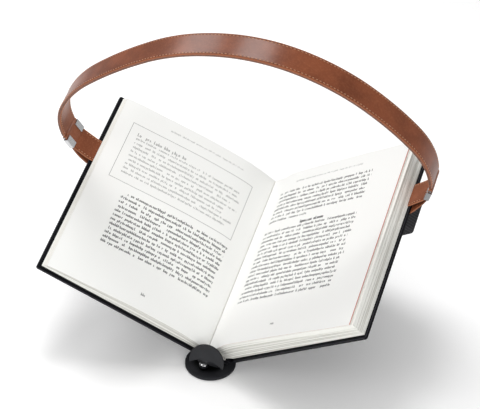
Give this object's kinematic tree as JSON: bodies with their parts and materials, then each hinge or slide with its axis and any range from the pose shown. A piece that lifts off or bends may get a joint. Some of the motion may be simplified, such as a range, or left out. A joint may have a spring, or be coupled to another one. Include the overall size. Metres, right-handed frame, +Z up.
{
  "type": "book lamp",
  "caption": "Reading lamp shaped as an open hardback book with a stitched leather strap arched over it, standing on a round ball-jointed foot and a folding rear leg.",
  "frame": {"origin": "centre of the round foot's underside, on the floor", "axes": "+Z up, -Y towards the reader, +X to the reader's right"},
  "size_m": [0.4028, 0.2651, 0.3675],
  "materials": {
    "cover": "matte",
    "pages": "matte",
    "strap_leather": "satin",
    "clasp_metal": "satin",
    "steel": "satin",
    "housing": "matte",
    "light_channel": "satin",
    "light_strip": "matte",
    "diffuser": "matte",
    "circuit_board": "satin",
    "cell": "satin",
    "stand_metal": "matte",
    "ball": "gloss",
    "rubber": "matte",
    "felt": "matte",
    "headband": "matte"
  },
  "bodies": {
    "cradle": {"spine_board": "cover", "bound_pages": "pages", "left_fold_pages": "pages", "right_fold_pages": "pages", "headbands": "headband", "left_joint_cloth": "cover", "right_joint_cloth": "cover", "spine_felt": "felt", "spine_rail": "stand_metal", "lip_disc": "stand_metal", "nose_block": "stand_metal", "ball_magnet": "steel", "leg_bracket": "stand_metal", "leg_pin": "steel", "bracket_screws": "steel"},
    "left_cover": {"left_board": "cover", "left_pages": "pages", "left_tab_front": "strap_leather", "left_tab_back": "strap_leather", "left_roll": "strap_leather", "left_clasp_pin": "steel", "left_clasp": "clasp_metal"},
    "right_cover": {"right_board": "cover", "right_pages": "pages", "right_tab_front": "strap_leather", "right_tab_back": "strap_leather", "right_roll": "strap_leather", "right_clasp_pin": "steel", "right_clasp": "clasp_metal", "housing_shell": "housing", "housing_lid": "housing", "control_board": "circuit_board", "battery_cell": "cell", "charge_socket": "steel", "lid_screws": "steel"},
    "left_strap": {"strap_outer_left": "strap_leather", "strap_lining_left": "strap_leather", "strap_core_left": "steel", "light_channel_left": "light_channel", "led_strip_left": "light_strip", "diffuser_left": "diffuser", "crown_pin": "steel"},
    "right_strap": {"strap_outer_right": "strap_leather", "strap_lining_right": "strap_leather", "strap_core_right": "steel", "light_channel_right": "light_channel", "led_strip_right": "light_strip", "diffuser_right": "diffuser"},
    "leaf": {"turning_leaf": "pages"},
    "switch": {"switch_slider": "housing"},
    "ball": {"ball_stud": "ball", "stud_screw": "steel"},
    "foot": {"foot_disc": "stand_metal", "foot_pad": "rubber"},
    "rear_leg": {"leg_stem": "stand_metal", "leg_bar": "stand_metal", "leg_pads": "rubber"}
  },
  "joints": [
    {"name": "right_cover_fold", "type": "hinge", "parent": "cradle", "child": "right_cover", "pos_m": [0.0229, 0.10986, 0.04722], "axis": [0, -0.9426, -0.3338], "range_deg": [-10, 15], "deforming": ["right_fold_pages", "right_joint_cloth"]},
    {"name": "left_cover_fold", "type": "hinge", "parent": "cradle", "child": "left_cover", "pos_m": [-0.0121, 0.10986, 0.04722], "axis": [0, 0.9426, 0.3338], "range_deg": [-10, 15], "deforming": ["left_fold_pages", "left_joint_cloth"]},
    {"name": "strap_clasp_turn", "type": "hinge", "parent": "left_cover", "child": "left_strap", "pos_m": [-0.20202, 0.10216, 0.1873], "axis": [0, -0.9426, -0.3338], "range_deg": [-18.4, 27.6]},
    {"name": "strap_crown_turn", "type": "hinge", "parent": "left_strap", "child": "right_strap", "pos_m": [-0.00256, 0.0495, 0.36008], "axis": [0, 0.9426, 0.3338], "range_deg": [-17.8, 26.7]},
    {"name": "leaf_turn", "type": "hinge", "parent": "right_cover", "child": "leaf", "pos_m": [-0.0036, 0.10639, 0.05703], "axis": [0, -0.9426, -0.3338], "range_deg": [0, 60], "deforming": ["turning_leaf"]},
    {"name": "switch_slide", "type": "slide", "parent": "right_cover", "child": "switch", "axis": [0, 0.9426, 0.3338], "range_m": [0, 0.005]},
    {"name": "foot_tilt", "type": "hinge", "parent": "cradle", "child": "ball", "pos_m": [-0.0022, -0.014, 0.0084], "axis": [1, 0, 0], "range_deg": [-18, 2]},
    {"name": "foot_swivel", "type": "hinge", "parent": "ball", "child": "foot", "pos_m": [-0.0022, -0.014, 0], "axis": [0, 0, 1], "continuous": true},
    {"name": "leg_fold", "type": "hinge", "parent": "cradle", "child": "rear_leg", "pos_m": [0.0054, 0.19585, 0.06653], "axis": [1, 0, 0], "range_deg": [-82, 0]}
  ],
  "couplings": [
    {"joint": "left_cover_fold", "follows": "right_cover_fold", "ratio": 1},
    {"joint": "strap_clasp_turn", "follows": "right_cover_fold", "ratio": 1.8329},
    {"joint": "strap_crown_turn", "follows": "right_cover_fold", "ratio": 1.7696}
  ]
}
